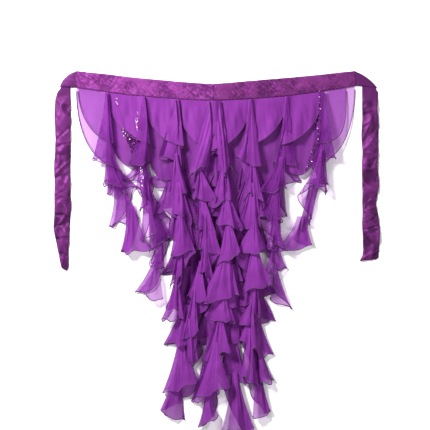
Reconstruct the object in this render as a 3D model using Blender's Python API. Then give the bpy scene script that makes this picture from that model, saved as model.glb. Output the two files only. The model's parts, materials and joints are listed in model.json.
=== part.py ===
"""Belly dance hip scarf, laid flat: a satin waistband in two halves, two satin ties and
sixteen spiral-cut chiffon ruffles that hang from the waistband in a front and a back row.

The garment lies on a surface at z = 0. X runs along the waistband, Y runs from the hem of
the ruffles to the waistband, Z is up out of the surface. Tables are in millimetres: x from
the middle of the garment, d measured down the garment from the highest point of the band.
"""

import math

import bmesh
import bpy
from mathutils import Vector

MM = 0.001

# Overall placing: moves the laid garment so that its bounding box is centred on the origin
CENTRE_X = 1.75
CENTRE_Y = 409.32

# Waistband: a flat satin casing of two layers with an interlining
BAND_THICKNESS = 3.0
BAND_GAP = 0.3
BAND_EDGE = 0.6

# x of each cut line along the band, d of its top edge, d of its bottom edge
BAND_ROWS = [
    ("x", "top", "bottom"),
    (-318.0, 0.0, 38.5),
    (-280.0, 4.0, 43.5),
    (-242.0, 8.0, 49.5),
    (-200.0, 13.5, 55.0),
    (-160.0, 17.5, 58.5),
    (-120.0, 21.0, 62.0),
    (-83.0, 24.5, 64.5),
    (-42.0, 27.5, 67.0),
    (-5.0, 29.5, 68.0),
    (34.0, 26.5, 66.5),
    (74.0, 23.0, 64.5),
    (116.0, 19.5, 61.5),
    (157.0, 16.0, 58.0),
    (198.0, 12.5, 53.0),
    (239.0, 8.5, 47.5),
    (280.0, 4.0, 41.0),
    (318.0, 0.0, 34.5),
]
BAND_SEAM_X = -5.0

# Ties: a flap carries the band on, turns over a diagonal fold and hangs down behind itself
TIE_WALL = 1.1
TIE_FRONT_Z = 2.25
TIE_BACK_Z = 0.55
TIE_FOLD_Z = 1.4

# Each row is a line across the ribbon: its outer end, its inner end, how far its middle
# bulges outward, and the layer it is in
TIE_LEFT_ROWS = [
    ("outer_x", "outer_d", "inner_x", "inner_d", "bulge", "layer"),
    (-318.4, 0.6, -318.4, 38.0, 0.0, "front"),
    (-319.6, 1.4, -337.0, 37.4, 2.5, "front"),
    (-321.0, 2.4, -355.0, 36.6, 6.0, "fold"),
    (-321.6, 5.6, -352.6, 38.8, 4.0, "back"),
    (-331.0, 30.0, -361.0, 48.0, 2.0, "back"),
    (-331.0, 66.0, -366.5, 66.0, 0.0, "back"),
    (-330.0, 112.0, -366.5, 112.0, 0.0, "back"),
    (-330.5, 157.0, -364.0, 157.0, 0.0, "back"),
    (-331.0, 205.0, -368.5, 205.0, 0.0, "back"),
    (-331.0, 260.0, -367.0, 260.0, 0.0, "back"),
    (-330.0, 310.0, -368.5, 310.0, 0.0, "back"),
    (-332.0, 351.0, -370.5, 356.0, 0.0, "back"),
    (-335.5, 411.0, -359.5, 411.0, 0.0, "back"),
    (-334.5, 444.0, -351.0, 449.0, 0.0, "back"),
    (-338.0, 453.5, -343.0, 454.5, 0.0, "back"),
]
TIE_RIGHT_ROWS = [
    ("outer_x", "outer_d", "inner_x", "inner_d", "bulge", "layer"),
    (318.4, 0.6, 318.4, 34.2, 0.0, "front"),
    (319.8, 1.6, 343.0, 35.0, 2.0, "front"),
    (321.4, 2.8, 367.2, 38.4, 4.0, "fold"),
    (322.4, 6.6, 364.6, 40.6, 2.5, "back"),
    (333.5, 34.0, 370.0, 48.0, 1.0, "back"),
    (333.5, 84.0, 370.0, 84.0, 0.0, "back"),
    (333.0, 140.0, 370.5, 140.0, 0.0, "back"),
    (333.0, 203.0, 369.5, 203.0, 0.0, "back"),
    (333.5, 262.0, 371.0, 262.0, 0.0, "back"),
    (334.0, 305.0, 366.5, 305.0, 0.0, "back"),
    (334.0, 355.0, 374.0, 355.0, 0.0, "back"),
    (336.5, 408.0, 373.0, 412.0, 0.0, "back"),
    (334.0, 421.0, 371.5, 426.0, 0.0, "back"),
    (327.5, 433.0, 364.5, 430.0, 0.0, "back"),
]

# Ruffles: a cloth of this wall is wound down in cones from a neck line to a hem
CLOTH_WALL = 1.0
NECK_RADIUS = 5.8
FIRST_NECK_RADIUS = 11.0
NECK_RISE = 2.6
FIRST_NECK_RISE = 2.3
NECK_TUCK = 12.0
STEPS_PER_TURN = 12
FLOOR = 0.0

# How far along its length a cone has opened where its cloth is half way to the hem
CONE_STATIONS = (0.0, 0.5, 1.0)
CONE_OPENING = (0.0, 0.48, 1.0)
HEM_LEAN = 5.0

# The first cones of a ruffle are flatter, because the panel above them holds them down
FIRST_CONES = (0.7, 0.88)

# Stations across a top panel as parts of its width, and how far from its inner fold it has
# risen to its full height
PANEL_ACROSS = (0.0, 0.05, 0.16, 0.34, 0.56, 0.76, 0.88, 0.95, 0.985, 1.0)
PANEL_ROLL = 24.0
GATHER_WIDTH = 20.0
PANEL_LIP = 7.0

# Back row lies on the surface, front row lies on the back row: height of the cloth at the
# band and at a panel's inner fold, middle height of the cones, half their height, height of
# a panel's hem at its outer end
BACK_LAYER = {"band_z": 0.5, "fold_z": 3.4, "hem_z": 6.8, "rise": 6.3, "outer_z": 14.5}
FRONT_LAYER = {"band_z": 1.8, "fold_z": 6.8, "hem_z": 22.4, "rise": 6.5, "outer_z": 26.0}

# Top panels: outer end and inner end of the seam on the band, drop of the hem below the
# band, slant of the inner fold towards the middle of the garment
PANEL_COLUMNS = ("outer", "inner", "drop", "slant")
PANELS = {
    "ruffle_1_front": (-313.5, -243.5, 108.0, 12.0),
    "ruffle_1_back": (-317.5, -243.5, 160.0, 18.0),
    "ruffle_2_front": (-241.0, -161.5, 100.0, 12.0),
    "ruffle_2_back": (-241.0, -161.5, 140.0, 12.0),
    "ruffle_3_front": (-158.5, -84.5, 100.0, 12.0),
    "ruffle_3_back": (-158.5, -84.5, 140.0, 12.0),
    "ruffle_4_front": (-81.5, -10.0, 108.0, 3.0),
    "ruffle_4_back": (-81.5, -10.0, 140.0, 3.0),
    "ruffle_5_front": (73.0, 0.0, 104.0, 3.0),
    "ruffle_5_back": (73.0, 0.0, 140.0, 3.0),
    "ruffle_6_front": (155.5, 76.0, 100.0, 12.0),
    "ruffle_6_back": (155.5, 76.0, 140.0, 12.0),
    "ruffle_7_front": (238.0, 158.5, 104.0, 12.0),
    "ruffle_7_back": (238.0, 158.5, 140.0, 12.0),
    "ruffle_8_front": (297.0, 241.0, 112.0, 12.0),
    "ruffle_8_back": (317.0, 241.0, 158.0, 18.0),
}

# Cones of each ruffle, top to bottom: x of the two hem corners, d of the hem
CONE_COLUMNS = ("left_x", "right_x", "hem_d")
CONES = {
    "ruffle_1_front": [
        (-271.0, -229.0, 205.0),
        (-258.0, -214.0, 266.0),
    ],
    "ruffle_1_back": [
        (-252.0, -208.0, 276.0),
        (-230.0, -185.0, 340.0),
        (-209.0, -158.0, 413.0),
    ],
    "ruffle_2_front": [
        (-192.0, -152.0, 205.0),
        (-176.0, -143.0, 285.0),
        (-170.0, -140.0, 376.0),
    ],
    "ruffle_2_back": [
        (-180.0, -134.0, 266.0),
        (-166.0, -118.0, 328.0),
        (-150.0, -104.0, 388.0),
        (-150.0, -108.0, 452.0),
        (-172.0, -124.0, 515.0),
    ],
    "ruffle_3_front": [
        (-126.0, -66.0, 210.0),
        (-106.0, -61.0, 278.0),
        (-111.0, -55.0, 333.0),
        (-105.0, -50.0, 408.0),
        (-110.0, -72.0, 480.0),
        (-106.0, -74.0, 566.0),
    ],
    "ruffle_3_back": [
        (-112.0, -72.0, 264.0),
        (-102.0, -54.0, 326.0),
        (-95.0, -47.0, 392.0),
        (-90.0, -42.0, 464.0),
        (-89.0, -41.0, 534.0),
        (-91.0, -43.0, 606.0),
        (-94.0, -46.0, 660.0),
        (-105.0, -56.0, 716.0),
        (-123.0, -74.0, 782.0),
    ],
    "ruffle_4_front": [
        (-58.0, -14.0, 239.0),
        (-58.0, -16.0, 296.0),
        (-44.0, -4.0, 352.0),
        (-38.0, 10.0, 413.0),
        (-48.0, -8.0, 466.0),
        (-68.0, -34.0, 522.0),
        (-72.0, -40.0, 595.0),
        (-72.0, -40.0, 664.0),
    ],
    "ruffle_4_back": [
        (-46.0, -8.0, 266.0),
        (-50.0, -3.0, 326.0),
        (-43.0, 5.0, 400.0),
        (-38.0, 10.0, 470.0),
        (-37.0, 12.0, 542.0),
        (-39.0, 10.0, 613.0),
        (-42.0, 8.0, 684.0),
        (-50.0, -6.0, 750.0),
        (-34.0, 4.0, 797.0),
    ],
    "ruffle_5_front": [
        (5.0, 33.0, 233.0),
        (-6.0, 36.0, 292.0),
        (-2.0, 50.0, 358.0),
        (13.0, 60.0, 435.0),
        (-16.0, 50.0, 508.0),
        (-8.0, 42.0, 570.0),
        (-30.0, 31.0, 648.0),
        (-38.0, 28.0, 732.0),
    ],
    "ruffle_5_back": [
        (0.0, 38.0, 264.0),
        (2.0, 50.0, 322.0),
        (7.0, 53.0, 396.0),
        (11.0, 57.0, 468.0),
        (16.0, 63.0, 540.0),
        (14.0, 61.0, 610.0),
        (14.0, 66.0, 708.0),
        (22.0, 79.0, 817.0),
    ],
    "ruffle_6_front": [
        (54.0, 100.0, 218.0),
        (68.0, 108.0, 287.0),
        (62.0, 108.0, 346.0),
        (66.0, 112.0, 408.0),
        (60.0, 108.0, 483.0),
        (62.0, 102.0, 548.0),
        (58.0, 92.0, 616.0),
        (56.0, 88.0, 698.0),
    ],
    "ruffle_6_back": [
        (60.0, 100.0, 264.0),
        (55.0, 102.0, 330.0),
        (58.0, 105.0, 406.0),
        (64.0, 109.0, 474.0),
        (67.0, 119.0, 530.0),
        (65.0, 115.0, 582.0),
        (68.0, 120.0, 640.0),
        (74.0, 122.0, 714.0),
        (84.0, 121.0, 783.0),
    ],
    "ruffle_7_front": [
        (133.0, 176.0, 212.0),
        (113.0, 153.0, 276.0),
        (108.0, 148.0, 334.0),
        (112.0, 146.0, 394.0),
    ],
    "ruffle_7_back": [
        (134.0, 180.0, 266.0),
        (116.0, 162.0, 328.0),
        (113.0, 156.0, 392.0),
        (112.0, 156.0, 464.0),
        (130.0, 170.0, 528.0),
    ],
    "ruffle_8_front": [
        (223.0, 280.0, 203.0),
        (206.0, 246.0, 270.0),
    ],
    "ruffle_8_back": [
        (202.0, 248.0, 268.0),
        (180.0, 226.0, 334.0),
        (164.0, 210.0, 412.0),
    ],
}

SATIN_LIGHT = (0.42, 0.06, 0.47)
SATIN_DARK = (0.22, 0.03, 0.24)
SATIN_TIE = (0.25, 0.035, 0.27)
CHIFFON_FRONT = (0.36, 0.06, 0.52)
CHIFFON_BACK = (0.26, 0.04, 0.38)


def clear_scene():
    for old in list(bpy.data.objects):
        bpy.data.objects.remove(old, do_unlink=True)


def cloth_material(name, colour, roughness, sheen):
    material = bpy.data.materials.new(name)
    material.use_nodes = True
    shader = material.node_tree.nodes["Principled BSDF"]
    shader.inputs["Base Color"].default_value = (*colour, 1.0)
    shader.inputs["Roughness"].default_value = roughness
    shader.inputs["Sheen Weight"].default_value = sheen
    return material


def place(x, d, z):
    """A point of the laid garment in metres, from its place in millimetres."""
    return Vector(((x - CENTRE_X) * MM, (CENTRE_Y - d) * MM, z * MM))


def blend(a, b, t):
    return a + (b - a) * t


def ease(t):
    """Runs smoothly from 0 to 1."""
    t = min(max(t, 0.0), 1.0)
    return t * t * (3.0 - 2.0 * t)


def solid_object(name, points, faces, material):
    mesh = bpy.data.meshes.new(name)
    mesh.from_pydata(points, [], faces)
    tidy = bmesh.new()
    tidy.from_mesh(mesh)
    bmesh.ops.recalc_face_normals(tidy, faces=tidy.faces)
    tidy.to_mesh(mesh)
    tidy.free()
    mesh.materials.append(material)
    mesh.polygons.foreach_set("use_smooth", [True] * len(mesh.polygons))
    made = bpy.data.objects.new(name, mesh)
    bpy.context.scene.collection.objects.link(made)
    return made


def grid_normals(grid):
    """The direction through the cloth at each point of a grid of its middle surface.

    The grid winds round an axis down the garment, so its turn about that axis alone sets
    the direction, and the walk down the axis does not.
    """
    rows = len(grid)
    columns = len(grid[0])
    normals = []
    for i in range(rows):
        line = []
        for j in range(columns):
            along = grid[min(i + 1, rows - 1)][j] - grid[max(i - 1, 0)][j]
            across = grid[i][min(j + 1, columns - 1)] - grid[i][max(j - 1, 0)]
            along.y = 0.0
            line.append(along.cross(across).normalized())
        normals.append(line)
    return normals


def wall_of(grid, wall, normals=None):
    """A closed wall about a middle surface, never lower than the surface it lies on."""
    rows = len(grid)
    columns = len(grid[0])
    normals = normals or grid_normals(grid)
    points = []
    for side in (0.5, -0.5):
        for i in range(rows):
            for j in range(columns):
                point = grid[i][j] + normals[i][j] * (wall * side * MM)
                if point.z < FLOOR + 0.04 * MM:
                    point.z = FLOOR
                points.append(point)
    count = rows * columns
    faces = []
    for i in range(rows - 1):
        for j in range(columns - 1):
            a = i * columns + j
            b = a + 1
            c = a + columns + 1
            e = a + columns
            # both sides of the wall are cut along the same diagonal
            faces.append((a, b, c))
            faces.append((a, c, e))
            faces.append((count + a, count + c, count + b))
            faces.append((count + a, count + e, count + c))
    for i in range(rows - 1):
        for j in (0, columns - 1):
            a = i * columns + j
            b = a + columns
            ring = (a, b, count + b, count + a)
            faces.append(ring if j == 0 else ring[::-1])
    for j in range(columns - 1):
        for i in (0, rows - 1):
            a = i * columns + j
            b = a + 1
            ring = (b, a, count + a, count + b)
            faces.append(ring if i == 0 else ring[::-1])
    return points, faces


def table(rows):
    """The rows of a table under its column names."""
    return [dict(zip(rows[0], row)) for row in rows[1:]]


def band_edge(x, edge):
    rows = table(BAND_ROWS)
    for left, right in zip(rows, rows[1:]):
        if x <= right["x"]:
            break
    t = (x - left["x"]) / (right["x"] - left["x"])
    return blend(left[edge], right[edge], t)


def band_half(name, start_x, end_x, material):
    """A slab along the band with softened long edges."""
    places = [start_x] + [row["x"] for row in table(BAND_ROWS) if start_x < row["x"] < end_x] + [end_x]
    points = []
    for x in places:
        top = band_edge(x, "top")
        bottom = band_edge(x, "bottom")
        middle = 0.5 * (top + bottom)
        ring = [
            (top + BAND_EDGE, 0.0),
            (middle, 0.0),
            (bottom - BAND_EDGE, 0.0),
            (bottom, BAND_EDGE),
            (bottom, BAND_THICKNESS - BAND_EDGE),
            (bottom - BAND_EDGE, BAND_THICKNESS),
            (middle, BAND_THICKNESS),
            (top + BAND_EDGE, BAND_THICKNESS),
            (top, BAND_THICKNESS - BAND_EDGE),
            (top, BAND_EDGE),
        ]
        points.extend(place(x, d, z) for d, z in ring)
    size = 10
    faces = [tuple(range(size))]
    for i in range(len(places) - 1):
        for j in range(size):
            a = i * size + j
            b = i * size + (j + 1) % size
            faces.append((a, a + size, b + size, b))
    last = (len(places) - 1) * size
    faces.append(tuple(last + j for j in reversed(range(size))))
    return solid_object(name, points, faces, material)


def tie(name, rows, material):
    """A satin ribbon from the band's end, over its diagonal fold and down to its point."""
    grid = []
    facing = []
    for row in table(rows):
        outer = Vector((row["outer_x"], row["outer_d"], 0.0))
        inner = Vector((row["inner_x"], row["inner_d"], 0.0))
        side = 1.0 if outer.x > 0.0 else -1.0
        across = (inner - outer).normalized()
        outward = Vector((across.y * side * side, -across.x, 0.0)) * side
        z, normal = {
            "front": (TIE_FRONT_Z, Vector((0.0, 0.0, 1.0))),
            "fold": (TIE_FOLD_Z, Vector((outward.x, -outward.y, 0.0))),
            "back": (TIE_BACK_Z, Vector((0.0, 0.0, -1.0))),
        }[row["layer"]]
        line = []
        for t in (0.0, 0.25, 0.5, 0.75, 1.0):
            point = outer.lerp(inner, t) + outward * (row["bulge"] * 4.0 * t * (1.0 - t))
            line.append(place(point.x, point.y, z))
        grid.append(line)
        facing.append([normal] * len(line))
    points, faces = wall_of(grid, TIE_WALL, facing)
    return solid_object(name, points, faces, material)


def panel_station(panel, layer, across):
    """Neck and hem of the flat top panel, across from its outer seam to its inner fold."""
    x = blend(panel["outer"], panel["inner"], across)
    slant = math.copysign(panel["slant"], panel["inner"] - panel["outer"]) * across * across
    sweep = math.sqrt(1.0 - (1.0 - across) ** 2)
    neck_d = band_edge(x, "bottom") + BAND_GAP
    hem_d = neck_d + PANEL_LIP + panel["drop"] * sweep
    to_fold = abs(panel["inner"] - panel["outer"]) * (1.0 - across)
    roll = math.sqrt(1.0 - (1.0 - min(to_fold / PANEL_ROLL, 1.0)) ** 2)
    hem_z = layer["hem_z"] + layer["rise"] * roll
    hem_z = blend(layer["outer_z"], hem_z, ease(1.6 * across))
    hem_z = blend(layer["band_z"], hem_z, sweep)
    gather = math.sqrt(1.0 - (1.0 - min(to_fold / 8.0, 1.0)) ** 2)
    neck_z = blend(layer["band_z"], layer["fold_z"] + FIRST_NECK_RISE * gather, ease(1.0 - to_fold / GATHER_WIDTH))
    return (x, neck_d, neck_z), (x + slant, hem_d, hem_z)


def hem_before(panel, cones, chirality, turn):
    """The hem that a cone follows on: the cone above it, or the fold of the panel."""
    if turn > 0:
        return dict(zip(CONE_COLUMNS, cones[turn - 1]))
    fold = panel["inner"] + chirality * panel["slant"]
    ends = sorted((fold, fold - chirality * 2.0 * PANEL_ROLL))
    drop = band_edge(panel["inner"], "bottom") + BAND_GAP + PANEL_LIP + panel["drop"]
    return dict(zip(CONE_COLUMNS, (ends[0], ends[1], drop)))


def neck_middle(panel, cones, chirality, turn):
    """Each cone's neck is inside the hem above it, so it lags behind the hems."""
    if turn < 0:
        return panel["inner"] - chirality * FIRST_NECK_RADIUS
    above = hem_before(panel, cones, chirality, turn)
    here = 0.5 * (cones[turn][0] + cones[turn][1])
    over = neck_middle(panel, cones, chirality, turn - 1)
    room = NECK_RADIUS + 2.4
    low = blend(over - NECK_RADIUS, above["left_x"], 0.6) + room
    high = blend(over + NECK_RADIUS, above["right_x"], 0.6) - room
    if turn == 0:
        low = high = panel["inner"] + chirality * min(1.2 * panel["slant"] - room - 6.0, 0.0)
    if low > high:
        low = high = 0.5 * (low + high)
    wanted = blend(0.5 * (above["left_x"] + above["right_x"]), here, 0.35)
    return min(max(wanted, low), high)


def flatness(turn):
    return FIRST_CONES[turn] if turn < len(FIRST_CONES) else 1.0


def cone_station(panel, cones, layer, chirality, t):
    """Neck and hem of the wound part: t counts turns from the panel's inner fold."""
    turn = min(int(t), len(cones) - 1)
    part = t - turn
    row = dict(zip(CONE_COLUMNS, cones[turn]))
    above = hem_before(panel, cones, chirality, turn)
    start_d = band_edge(panel["inner"], "bottom") + BAND_GAP
    # the back crossing leads from the cone above to this one, the front crossing shows this one
    shift = ease(part * 2.0)
    left = blend(above["left_x"], row["left_x"], shift)
    right = blend(above["right_x"], row["right_x"], shift)
    fall = blend(above["hem_d"], row["hem_d"], shift)
    neck_above = start_d if turn == 0 else hem_before(panel, cones, chirality, turn - 1)["hem_d"] - NECK_TUCK
    neck_d = blend(neck_above, above["hem_d"] - NECK_TUCK, ease(part * (2.4 if turn == 0 else 3.0)))
    swing = math.cos(2.0 * math.pi * part) * chirality
    height = -math.sin(2.0 * math.pi * part)
    if part > 0.5:
        height *= flatness(turn)
    hem_d = fall + HEM_LEAN * math.sin(2.2 * turn + panel["inner"]) * swing * ease(2.0 * t)
    hem_x = 0.5 * (left + right) + 0.5 * (right - left) * swing
    hem_z = layer["hem_z"] + layer["rise"] * height
    # the neck moves sideways in the crossing that runs the same way
    over = neck_middle(panel, cones, chirality, turn - 1)
    under = neck_middle(panel, cones, chirality, turn)
    with_front = (under - over) * chirality > 0.0
    middle = blend(over, under, ease(part) if with_front else shift)
    neck_x = middle + blend(FIRST_NECK_RADIUS, NECK_RADIUS, ease(t)) * swing
    slope = min((neck_d - start_d) / panel["drop"], 1.0)
    neck_z = blend(layer["fold_z"], layer["hem_z"], slope) + blend(FIRST_NECK_RISE, NECK_RISE, ease(t - 1.0)) * height
    return (neck_x, neck_d, neck_z), (hem_x, hem_d, hem_z)


def ruffle_stations(name):
    panel = dict(zip(PANEL_COLUMNS, PANELS[name]))
    cones = CONES[name]
    layer = FRONT_LAYER if name.endswith("front") else BACK_LAYER
    chirality = 1.0 if panel["inner"] > panel["outer"] else -1.0
    stations = [panel_station(panel, layer, across) for across in PANEL_ACROSS]
    steps = STEPS_PER_TURN * len(cones)
    for i in range(1, steps + 1):
        stations.append(cone_station(panel, cones, layer, chirality, i / STEPS_PER_TURN))
    return stations


def ruffle(name, material):
    """A spiral-cut ruffle: its panel on the band, then its cones, as one wall of cloth."""
    grid = []
    for neck, hem in ruffle_stations(name):
        line = []
        for u, opening in zip(CONE_STATIONS, CONE_OPENING):
            x = blend(neck[0], hem[0], opening)
            d = blend(neck[1], hem[1], u)
            z = max(blend(neck[2], hem[2], u), 0.5 * CLOTH_WALL)
            line.append(place(x, d, z))
        grid.append(line)
    points, faces = wall_of(grid, CLOTH_WALL)
    return solid_object(name, points, faces, material)


def build():
    clear_scene()
    band_half("waistband_left", BAND_ROWS[1][0], BAND_SEAM_X - 0.5 * BAND_GAP,
              cloth_material("satin_left", SATIN_LIGHT, 0.4, 0.2))
    band_half("waistband_right", BAND_SEAM_X + 0.5 * BAND_GAP, BAND_ROWS[-1][0],
              cloth_material("satin_right", SATIN_DARK, 0.4, 0.2))
    tie("tie_left", TIE_LEFT_ROWS, cloth_material("satin_tie_left", SATIN_TIE, 0.4, 0.2))
    tie("tie_right", TIE_RIGHT_ROWS, cloth_material("satin_tie_right", SATIN_TIE, 0.4, 0.2))
    for name in PANELS:
        colour = CHIFFON_FRONT if name.endswith("front") else CHIFFON_BACK
        ruffle(name, cloth_material("chiffon_" + name, colour, 0.7, 0.3))


build()
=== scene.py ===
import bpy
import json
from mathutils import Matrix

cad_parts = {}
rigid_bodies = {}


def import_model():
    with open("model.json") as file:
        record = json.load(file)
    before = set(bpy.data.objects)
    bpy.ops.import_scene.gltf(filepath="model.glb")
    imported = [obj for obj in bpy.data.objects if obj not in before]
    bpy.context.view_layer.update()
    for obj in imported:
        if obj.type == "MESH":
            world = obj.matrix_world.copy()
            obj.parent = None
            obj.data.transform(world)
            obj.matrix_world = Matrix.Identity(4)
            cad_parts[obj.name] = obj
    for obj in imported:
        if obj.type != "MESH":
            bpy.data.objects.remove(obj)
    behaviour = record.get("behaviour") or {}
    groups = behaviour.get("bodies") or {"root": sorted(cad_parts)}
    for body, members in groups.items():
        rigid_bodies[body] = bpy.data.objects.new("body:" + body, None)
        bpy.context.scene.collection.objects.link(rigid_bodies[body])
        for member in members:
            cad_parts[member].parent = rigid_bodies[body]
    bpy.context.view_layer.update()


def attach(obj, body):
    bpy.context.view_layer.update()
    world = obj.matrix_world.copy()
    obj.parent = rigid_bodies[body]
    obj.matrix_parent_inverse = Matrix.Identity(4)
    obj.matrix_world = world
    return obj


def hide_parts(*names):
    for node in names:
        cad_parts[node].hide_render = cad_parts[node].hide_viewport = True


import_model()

# Belly dance hip scarf laid flat on a pale floor, seen from straight above.
# Sixteen spiral-cut chiffon ruffles hang in a front and a back row from a satin waistband in two
# halves, with a satin tie at each end. Lengths are in millimetres up to place(), which turns them
# into metres: x from halfway between the band's ends, d down the garment from the highest point
# of the band, z above the floor. CENTRE_X and CENTRE_Y are the frame's origin in x and d.

import json
import math

import bmesh
import bpy
from mathutils import Euler, Matrix, Vector, noise
from mathutils.bvhtree import BVHTree

MM = 0.001
CENTRE_X = 1.75
CENTRE_Y = 409.32
UP = Vector((0.0, 0.0, 1.0))
DOWN = Vector((0.0, 0.0, -1.0))
CHANCE_WEIGHTS = (12.9898, 78.233, 37.719)
CHANCE_SCALE = 43758.5453

# Sizes of the garment

BAND_GAP = 0.3
BAND_ROWS = [
    ("x", "top", "bottom"),
    (-318, 0, 38.5),
    (-280, 4, 43.5),
    (-242, 8, 49.5),
    (-200, 13.5, 55),
    (-160, 17.5, 58.5),
    (-120, 21, 62),
    (-83, 24.5, 64.5),
    (-42, 27.5, 67),
    (-5, 29.5, 68),
    (34, 26.5, 66.5),
    (74, 23, 64.5),
    (116, 19.5, 61.5),
    (157, 16, 58),
    (198, 12.5, 53),
    (239, 8.5, 47.5),
    (280, 4, 41),
    (318, 0, 34.5),
]
BAND_SEAM_X = -5.0
# The band's casing: steps along and across, share of its width that rounds off at each edge,
# height of its middle, of its edges' roundness and of its crumples
BAND_STEPS = 240
BAND_STEPS_ACROSS = 20
BAND_RIM = 0.08
BAND_MIDDLE_Z = 1.5
BAND_ROUND = 1.1
BAND_CRUMPLE = 2.9
BAND_SEED = 3.0

TIE_WALL = 1.1
TIE_FRONT_Z = 2.25
TIE_BACK_Z = 0.55
TIE_FOLD_Z = 1.4
TIE_STEP = 1.8
TIE_STEPS_ACROSS = 16
TIE_RIM = 0.1
TIE_CREASE = 10.5
TIE_EDGE_WAVE = 2.2
# Where a tie comes free of the fold at the band's end, and over how far
TIE_FREE_D = 52.0
TIE_FREE_LENGTH = 30.0
TIE_LEFT_ROWS = [
    ("outer_x", "outer_d", "inner_x", "inner_d", "bulge", "layer"),
    (-316.8, 0.6, -316.8, 38, 0, "front"),
    (-319.6, 1.4, -337, 37.4, 2.5, "front"),
    (-321, 2.4, -355, 36.6, 6, "fold"),
    (-321.6, 5.6, -352.6, 38.8, 4, "back"),
    (-331, 30, -361, 48, 2, "back"),
    (-331, 66, -366.5, 66, 0, "back"),
    (-330, 112, -366.5, 112, 0, "back"),
    (-330.5, 157, -364, 157, 0, "back"),
    (-331, 205, -368.5, 205, 0, "back"),
    (-331, 260, -367, 260, 0, "back"),
    (-330, 310, -368.5, 310, 0, "back"),
    (-332, 351, -370.5, 356, 0, "back"),
    (-335.5, 411, -359.5, 411, 0, "back"),
    (-334.5, 444, -351, 449, 0, "back"),
    (-338, 453.5, -343, 454.5, 0, "back"),
]
TIE_RIGHT_ROWS = [
    ("outer_x", "outer_d", "inner_x", "inner_d", "bulge", "layer"),
    (316.8, 0.6, 316.8, 34.2, 0, "front"),
    (319.8, 1.6, 343, 35, 2, "front"),
    (321.4, 2.8, 367.2, 38.4, 4, "fold"),
    (322.4, 6.6, 364.6, 40.6, 2.5, "back"),
    (333.5, 34, 370, 48, 1, "back"),
    (333.5, 84, 370, 84, 0, "back"),
    (333, 140, 370.5, 140, 0, "back"),
    (333, 203, 369.5, 203, 0, "back"),
    (333.5, 262, 371, 262, 0, "back"),
    (334, 305, 366.5, 305, 0, "back"),
    (334, 355, 374, 355, 0, "back"),
    (336.5, 408, 373, 412, 0, "back"),
    (334, 421, 371.5, 426, 0, "back"),
    (327.5, 433, 364.5, 430, 0, "back"),
]

# Necks of the cones: radius, height of their winding, room between them and the sides of the
# hem above, and how far they are tucked up under it
NECK_RADIUS = 3.0
BACK_NECK_RADIUS = 10.0
LOW_NECK_RADIUS = 6.0
FIRST_NECK_RADIUS = 6.0
NECK_RISE = 2.6
FIRST_NECK_RISE = 2.3
FIRST_NECK_LIFT = 6.0
NECK_ROOM = 2.4
NECK_TUCK = 24.0
# Share that a neck keeps to the sides of the hem above, and share that it goes to its own cone
NECK_KEEPS = 0.6
NECK_GOES = 0.35
# Heights of the first two cones of a ruffle, as a share of the others
FIRST_CONES = (0.7, 0.88)
# Panels: how wide the roll at their fold is, the gathers there, and how far the hem hangs at the seam
PANEL_ROLL = 24.0
PANEL_RISE = 1.5
GATHER_ROLL = 8.0
GATHER_WIDTH = 20.0
PANEL_LIP = 7.0
# Heights of each row of ruffles: at the band, at the fold, at the hems and how far these rise and
# fall, and at the outer corner of the panel
BACK_LAYER = {"band_z": 0.5, "fold_z": 3.4, "hem_z": 8.0, "rise": 6.8, "outer_z": 3.0}
FRONT_LAYER = {"band_z": 1.8, "fold_z": 6.8, "hem_z": 23.5, "rise": 7.6, "outer_z": 9.0}

# A panel's outer seam and inner fold (x), how far its hem drops and how far its fold leans
PANEL_COLUMNS = ("outer", "inner", "drop", "slant")
PANELS = {
    "ruffle_1_front": (-313.5, -243.5, 108, 12),
    "ruffle_1_back": (-317.5, -243.5, 160, 18),
    "ruffle_2_front": (-246, -161, 100, 12),
    "ruffle_2_back": (-246, -160.5, 140, 12),
    "ruffle_3_front": (-164.5, -84, 100, 12),
    "ruffle_3_back": (-164.5, -83.5, 140, 12),
    "ruffle_4_front": (-88, -3.8, 108, 3),
    "ruffle_4_back": (-88, -3, 140, 3),
    "ruffle_5_front": (79.5, -5.8, 104, 3),
    "ruffle_5_back": (79.5, -6.5, 140, 3),
    "ruffle_6_front": (161.5, 75.5, 100, 12),
    "ruffle_6_back": (161.5, 75, 140, 12),
    "ruffle_7_front": (244, 158, 104, 12),
    "ruffle_7_back": (244, 157.5, 140, 12),
    "ruffle_8_front": (297, 241, 112, 12),
    "ruffle_8_back": (317, 241, 158, 18),
}
# How far a back panel's hem hangs lower in the middle, by the place of its inner fold
BELLY = {-160.5: 18.0, -83.5: 44.0, -3.0: 76.0, -6.5: 84.0, 75.0: 94.0, 157.5: 40.0}
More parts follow.
